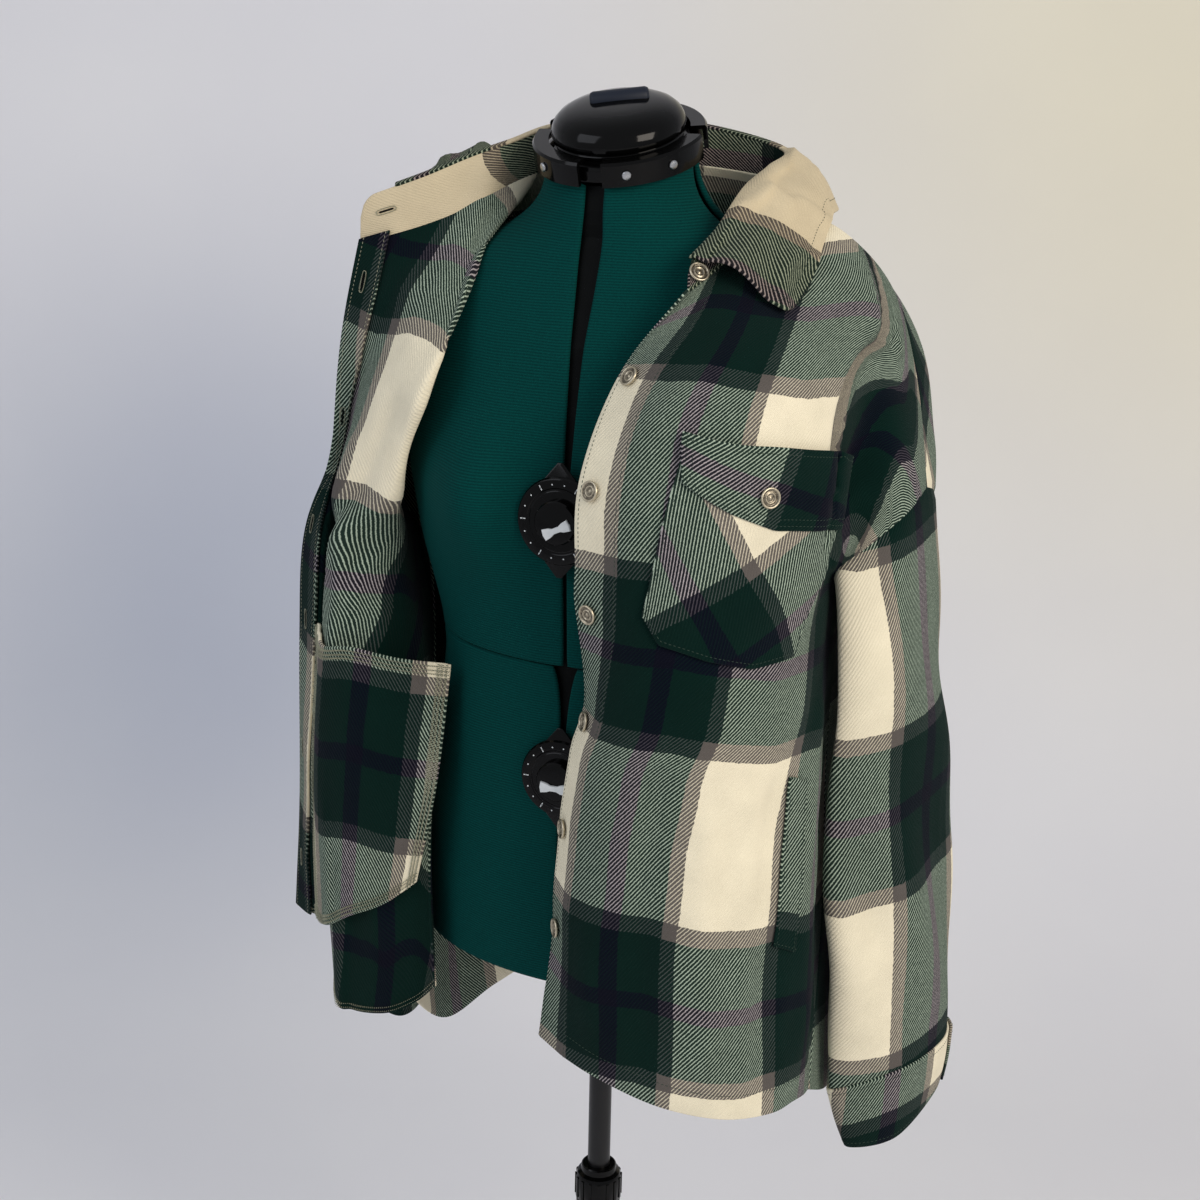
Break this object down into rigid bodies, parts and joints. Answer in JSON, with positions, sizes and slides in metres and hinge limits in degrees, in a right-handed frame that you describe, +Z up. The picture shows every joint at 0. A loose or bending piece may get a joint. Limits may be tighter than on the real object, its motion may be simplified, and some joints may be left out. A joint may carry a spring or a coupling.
{
  "type": "flannel shirt jacket on a dress form",
  "caption": "Plaid flannel shirt jacket with one front folded open, worn on an adjustable limbless dress form with a pole and a round base.",
  "frame": {"origin": "on the floor at the axis of the pole, the centre of the base's underside", "axes": "+Z up, +X to the wearer's left, -Y to the front"},
  "size_m": [0.59, 0.39, 1.4382],
  "materials": {
    "flannel": "brushed plaid wool flannel, green, navy, grey and cream",
    "knit_cover": "ribbed teal knit",
    "black_plastic": "glossy moulded",
    "inner_frame": "matt black",
    "white_plastic": "moulded",
    "nickel": "brushed nickel plate",
    "zinc_steel": "zinc plated",
    "black_enamel": "black enamel"
  },
  "bodies": {
    "root": {"back": "flannel", "base": "black_enamel", "base_socket": "black_plastic", "bust_dial": "black_plastic", "bust_dial_grip": "white_plastic", "bust_dial_knob": "black_plastic", "cap_pad": "black_plastic", "chest_pocket": "flannel", "clutch_body": "black_plastic", "clutch_nut": "black_plastic", "collar_leaf": "flannel", "collar_stand": "flannel", "flap_button": "nickel", "form_core": "inner_frame", "form_lower_left_back": "knit_cover", "form_lower_left_front": "knit_cover", "form_lower_right_back": "knit_cover", "form_lower_right_front": "knit_cover", "form_upper_left_back": "knit_cover", "form_upper_left_front": "knit_cover", "form_upper_right_back": "knit_cover", "form_upper_right_front": "knit_cover", "front_button_1": "nickel", "front_button_2": "nickel", "front_button_3": "nickel", "front_button_4": "nickel", "front_button_5": "nickel", "front_button_6": "nickel", "hip_dial": "black_plastic", "hip_dial_grip": "white_plastic", "hip_dial_knob": "black_plastic", "left_cuff": "flannel", "left_cuff_button": "nickel", "left_front": "flannel", "left_sleeve": "flannel", "left_welt": "flannel", "lower_tube": "black_enamel", "neck_band_left_back": "black_plastic", "neck_band_left_front": "black_plastic", "neck_band_right_back": "black_plastic", "neck_band_right_front": "black_plastic", "neck_cap": "black_plastic", "neck_plate": "black_plastic", "neck_screw_1": "zinc_steel", "neck_screw_2": "zinc_steel", "neck_screw_3": "zinc_steel", "pocket_flap": "flannel", "right_cuff": "flannel", "right_cuff_button": "nickel", "right_facing": "flannel", "right_front": "flannel", "right_pocket_bag": "flannel", "right_sleeve": "flannel", "right_welt": "flannel", "stand_button": "nickel", "upper_pole": "black_enamel"}
  },
  "joints": []
}
